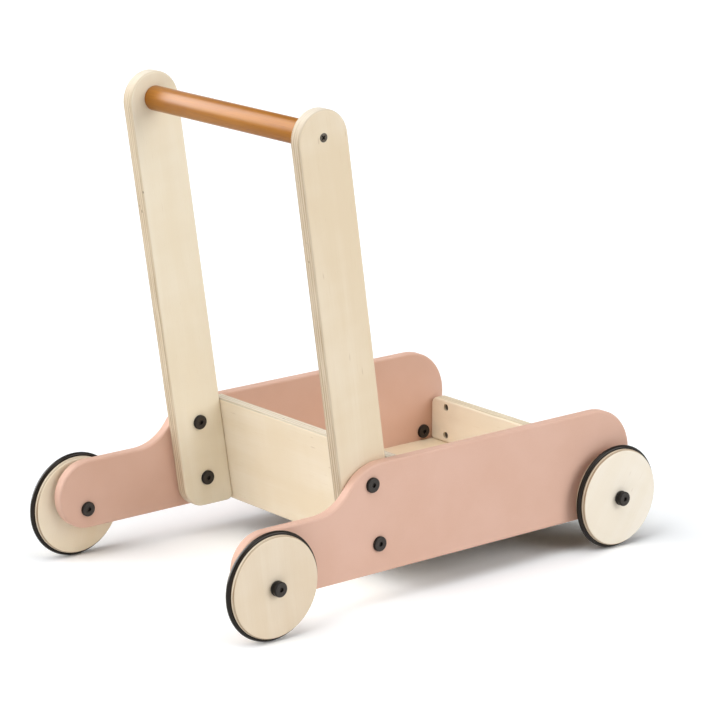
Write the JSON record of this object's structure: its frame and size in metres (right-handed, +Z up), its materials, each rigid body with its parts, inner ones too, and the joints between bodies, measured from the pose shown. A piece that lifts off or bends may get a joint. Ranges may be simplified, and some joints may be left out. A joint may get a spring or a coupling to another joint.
{
  "type": "baby push walker",
  "caption": "Low plywood push cart for a child learning to walk: an open tray between painted side panels on free-turning wheels, with leaning posts and a round push bar.",
  "frame": {"origin": "on the ground under the middle of the walker, midway between the front and rear axles", "axes": "+X forward, away from the child who pushes; +Y to that child's left, along the axles; +Z up"},
  "size_m": [0.515, 0.3292, 0.4587],
  "materials": {
    "pink_panel": "matt dusty-pink paint on plywood, edges painted",
    "birch_ply": "clear-sealed birch plywood, layered edges sanded round",
    "stained_bar": "caramel-stained turned wood, satin",
    "dowel_wood": "bare beech dowel",
    "black_steel": "matt black coated steel",
    "dark_screw": "dark phosphated steel",
    "dark_nut": "dark oxidised steel",
    "black_nylon": "black nylon",
    "black_rubber": "smooth black rubber cord ring"
  },
  "bodies": {
    "frame": {"left_side_panel": "pink_panel", "right_side_panel": "pink_panel", "left_post": "birch_ply", "right_post": "birch_ply", "rear_panel": "birch_ply", "front_panel": "birch_ply", "tray_floor": "birch_ply", "push_bar": "stained_bar", "bar_screws": "dark_screw", "rear_panel_dowels": "dowel_wood", "floor_dowels": "dowel_wood", "left_post_bolts": "black_steel", "right_post_bolts": "black_steel", "left_post_nuts": "black_steel", "right_post_nuts": "black_steel", "front_panel_bolts": "black_steel", "front_panel_nuts": "dark_nut", "rear_left_axle_sleeve": "black_steel", "rear_left_spacer_washer": "black_nylon", "rear_left_hub_collar": "black_nylon", "rear_left_axle_bolt": "black_steel", "rear_right_axle_sleeve": "black_steel", "rear_right_spacer_washer": "black_nylon", "rear_right_hub_collar": "black_nylon", "rear_right_axle_bolt": "black_steel", "front_left_axle_sleeve": "black_steel", "front_left_spacer_washer": "black_nylon", "front_left_hub_collar": "black_nylon", "front_left_axle_bolt": "black_steel", "front_right_axle_sleeve": "black_steel", "front_right_spacer_washer": "black_nylon", "front_right_hub_collar": "black_nylon", "front_right_axle_bolt": "black_steel"},
    "rear_left_wheel": {"rear_left_wheel_disc": "birch_ply", "rear_left_wheel_bush": "black_nylon", "rear_left_wheel_tyre": "black_rubber"},
    "rear_right_wheel": {"rear_right_wheel_disc": "birch_ply", "rear_right_wheel_bush": "black_nylon", "rear_right_wheel_tyre": "black_rubber"},
    "front_left_wheel": {"front_left_wheel_disc": "birch_ply", "front_left_wheel_bush": "black_nylon", "front_left_wheel_tyre": "black_rubber"},
    "front_right_wheel": {"front_right_wheel_disc": "birch_ply", "front_right_wheel_bush": "black_nylon", "front_right_wheel_tyre": "black_rubber"}
  },
  "joints": [
    {"name": "rear_left_wheel_spin", "type": "hinge", "parent": "frame", "child": "rear_left_wheel", "pos_m": [-0.2075, 0.1511, 0.05], "axis": [0, 1, 0], "continuous": true},
    {"name": "rear_right_wheel_spin", "type": "hinge", "parent": "frame", "child": "rear_right_wheel", "pos_m": [-0.2075, -0.1511, 0.05], "axis": [0, 1, 0], "continuous": true},
    {"name": "front_left_wheel_spin", "type": "hinge", "parent": "frame", "child": "front_left_wheel", "pos_m": [0.2075, 0.1511, 0.05], "axis": [0, 1, 0], "continuous": true},
    {"name": "front_right_wheel_spin", "type": "hinge", "parent": "frame", "child": "front_right_wheel", "pos_m": [0.2075, -0.1511, 0.05], "axis": [0, 1, 0], "continuous": true}
  ]
}
